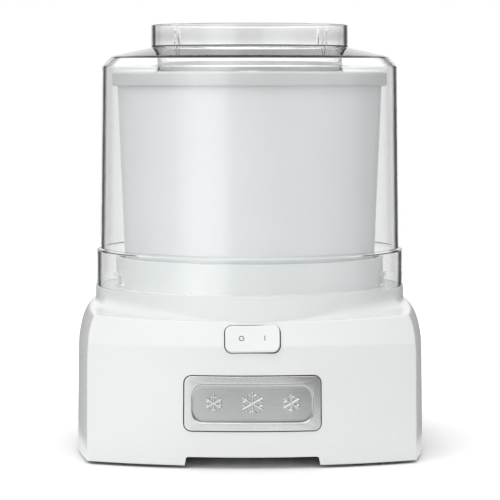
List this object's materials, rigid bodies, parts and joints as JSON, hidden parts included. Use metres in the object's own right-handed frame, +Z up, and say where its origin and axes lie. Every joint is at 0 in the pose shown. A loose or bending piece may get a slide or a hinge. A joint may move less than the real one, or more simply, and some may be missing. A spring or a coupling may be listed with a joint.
{
  "type": "ice cream maker",
  "caption": "Countertop freezer-bowl ice cream maker: a motor base turns a double-walled bowl under a clear lid that holds the mixing paddle still.",
  "frame": {"origin": "on the table, under the bowl's axis (centre of the underside)", "axes": "+Z up along the bowl's axis, the front with its switch and nameplate faces -Y, +X to the right seen from the front"},
  "size_m": [0.2346, 0.2316, 0.2858],
  "materials": {
    "clear_plastic": "gloss",
    "white_housing": "gloss",
    "white_bowl": "satin",
    "grey_rim": "satin",
    "white_paddle": "satin",
    "bare_aluminium": "satin",
    "blue_coolant": "gloss",
    "grey_rubber": "matte",
    "black_rubber": "matte",
    "grey_hub": "satin",
    "bright_steel": "satin",
    "brushed_plate": "satin",
    "sintered_bronze": "satin",
    "acetal": "satin",
    "dark_casting": "matte",
    "cover_plastic": "satin",
    "black_plastic": "satin",
    "lamination_steel": "satin",
    "copper_winding": "satin",
    "cream_plastic": "satin",
    "die_cast": "satin",
    "brass": "satin",
    "blue_wire": "satin",
    "white_wire": "satin",
    "black_wire": "satin"
  },
  "bodies": {
    "base": {"housing": "white_housing", "bottom_cover": "cover_plastic", "nameplate": "brushed_plate", "cord_inlet_bush": "black_rubber", "rubber_foot_front_left": "black_rubber", "rubber_foot_front_right": "black_rubber", "rubber_foot_back_left": "black_rubber", "rubber_foot_back_right": "black_rubber", "switch_body": "black_plastic", "switch_terminals": "brass", "spindle_seal": "black_rubber", "spindle_upper_bush": "sintered_bronze", "spindle_lower_bush": "sintered_bronze", "gearbox_case": "dark_casting", "gearbox_cover": "dark_casting", "first_gear_pin": "bright_steel", "second_gear_pin": "bright_steel", "motor_laminations": "lamination_steel", "motor_coil": "copper_winding", "coil_bobbin": "cream_plastic", "motor_upper_bracket": "die_cast", "motor_lower_bracket": "die_cast", "motor_upper_bearing": "sintered_bronze", "motor_lower_bearing": "sintered_bronze", "terminal_block": "cream_plastic", "lead_block_to_switch": "blue_wire", "lead_block_to_coil": "white_wire", "lead_switch_to_coil": "black_wire", "bottom_cover_screws": "bright_steel", "gearbox_mount_screws": "bright_steel", "gearbox_mount_grommets": "black_rubber", "gearbox_cover_screws": "bright_steel", "motor_through_screws": "bright_steel", "motor_mount_screws": "bright_steel"},
    "turntable": {"drive_hub": "grey_hub", "hub_screw": "bright_steel", "drive_spindle": "bright_steel", "spindle_circlip": "bright_steel", "thrust_washer": "sintered_bronze", "output_gear": "acetal"},
    "bowl": {"bowl_outer_shell": "white_bowl", "bowl_liner": "bare_aluminium", "bowl_rim_ring": "grey_rim", "bowl_rim_seal": "grey_rubber", "bowl_coolant": "blue_coolant"},
    "paddle": {"mixing_paddle": "white_paddle"},
    "lid": {"lid": "clear_plastic"},
    "second_gear": {"second_gear": "acetal"},
    "first_gear": {"first_gear": "acetal"},
    "rotor": {"rotor": "lamination_steel", "motor_shaft": "bright_steel", "motor_fan": "dark_casting", "motor_pinion": "brass"},
    "rocker": {"switch_rocker": "white_housing"}
  },
  "joints": [
    {"name": "bowl_spin", "type": "hinge", "parent": "base", "child": "turntable", "pos_m": [0, 0, 0.1], "axis": [0, 0, 1], "continuous": true},
    {"name": "bowl_lift", "type": "slide", "parent": "turntable", "child": "bowl", "axis": [0, 0, 1], "range_m": [0, 0.2]},
    {"name": "paddle_hold", "type": "hinge", "parent": "bowl", "child": "paddle", "pos_m": [0, 0, 0.2], "axis": [0, 0, 1], "continuous": true},
    {"name": "lid_lift", "type": "slide", "parent": "paddle", "child": "lid", "axis": [0, 0, 1], "range_m": [0, 0.2]},
    {"name": "second_gear_spin", "type": "hinge", "parent": "base", "child": "second_gear", "pos_m": [0, 0.048, 0.07], "axis": [0, 0, 1], "continuous": true},
    {"name": "first_gear_spin", "type": "hinge", "parent": "base", "child": "first_gear", "pos_m": [0.03229, 0.03294, 0.07], "axis": [0, 0, 1], "continuous": true},
    {"name": "motor_spin", "type": "hinge", "parent": "base", "child": "rotor", "pos_m": [0.05827, 0.01794, 0.05], "axis": [0, 0, 1], "continuous": true},
    {"name": "rocker_tilt", "type": "hinge", "parent": "base", "child": "rocker", "pos_m": [0, -0.10931, 0.08294], "axis": [0, 0.4586, 0.8886], "range_deg": [0, 5]}
  ],
  "couplings": [
    {"joint": "paddle_hold", "follows": "bowl_spin", "ratio": -1},
    {"joint": "second_gear_spin", "follows": "bowl_spin", "ratio": -3},
    {"joint": "first_gear_spin", "follows": "bowl_spin", "ratio": 11.25},
    {"joint": "motor_spin", "follows": "bowl_spin", "ratio": -45}
  ]
}
